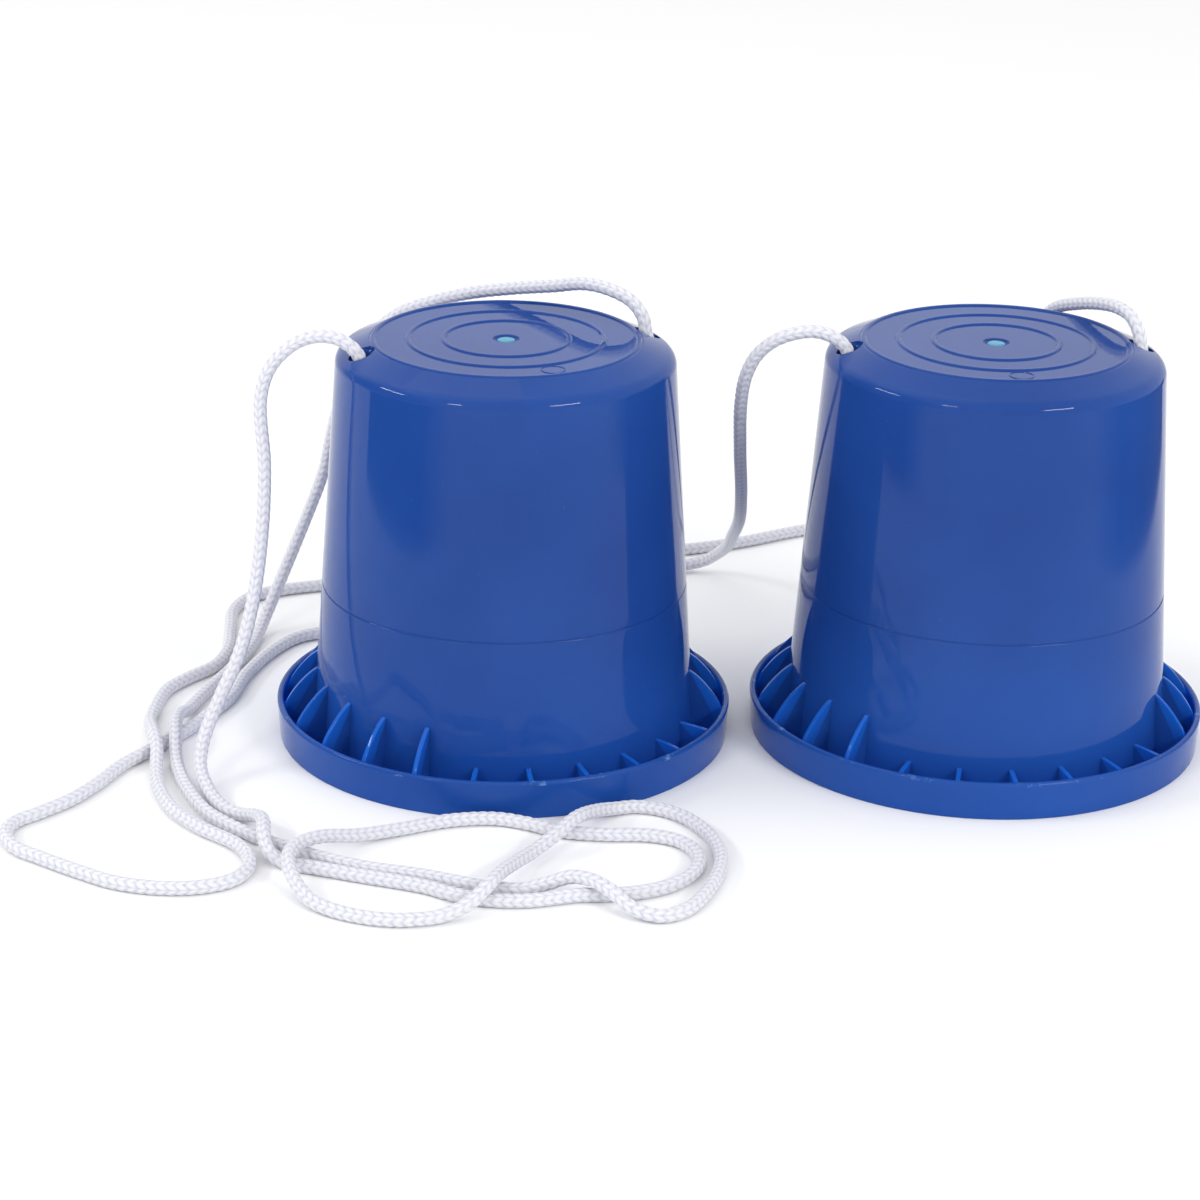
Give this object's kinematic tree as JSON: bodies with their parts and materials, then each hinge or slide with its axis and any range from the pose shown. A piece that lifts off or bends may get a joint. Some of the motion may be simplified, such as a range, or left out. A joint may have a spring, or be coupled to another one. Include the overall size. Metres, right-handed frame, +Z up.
{
  "type": "tin can stilts",
  "caption": "Blue moulded plastic pot stilts, upside down, with white braided rope loops threaded through their tops and knotted inside, the loops lying loose on the floor.",
  "frame": {"origin": "on the floor, midway between the two pots", "axes": "+X from the left stilt to the right stilt, +Y away from the viewer, +Z up"},
  "size_m": [0.3804, 0.3481, 0.1463],
  "materials": {
    "pot_plastic": "gloss",
    "rope": "matte"
  },
  "bodies": {
    "left_stilt": {"left_pot": "pot_plastic", "left_rope": "rope", "left_near_rope_end": "rope", "left_far_rope_end": "rope"},
    "right_stilt": {"right_pot": "pot_plastic", "right_rope": "rope", "right_near_rope_end": "rope", "right_far_rope_end": "rope"},
    "left_near_knot": {"left_near_knot": "rope"},
    "left_far_knot": {"left_far_knot": "rope"},
    "right_near_knot": {"right_near_knot": "rope"},
    "right_far_knot": {"right_far_knot": "rope"}
  },
  "joints": [
    {"name": "right_stilt_lift", "type": "slide", "parent": "left_stilt", "child": "right_stilt", "axis": [0, 0, 1], "range_m": [0, 0.08], "deforming": ["right_rope"]},
    {"name": "left_near_knot_slide", "type": "slide", "parent": "left_stilt", "child": "left_near_knot", "axis": [0, 0, 1], "range_m": [0, 0.01], "deforming": ["left_near_rope_end"]},
    {"name": "left_far_knot_slide", "type": "slide", "parent": "left_stilt", "child": "left_far_knot", "axis": [0, 0, 1], "range_m": [0, 0.01], "deforming": ["left_far_rope_end"]},
    {"name": "right_near_knot_slide", "type": "slide", "parent": "right_stilt", "child": "right_near_knot", "axis": [0, 0, 1], "range_m": [0, 0.01], "deforming": ["right_near_rope_end"]},
    {"name": "right_far_knot_slide", "type": "slide", "parent": "right_stilt", "child": "right_far_knot", "axis": [0, 0, 1], "range_m": [0, 0.01], "deforming": ["right_far_rope_end"]}
  ]
}
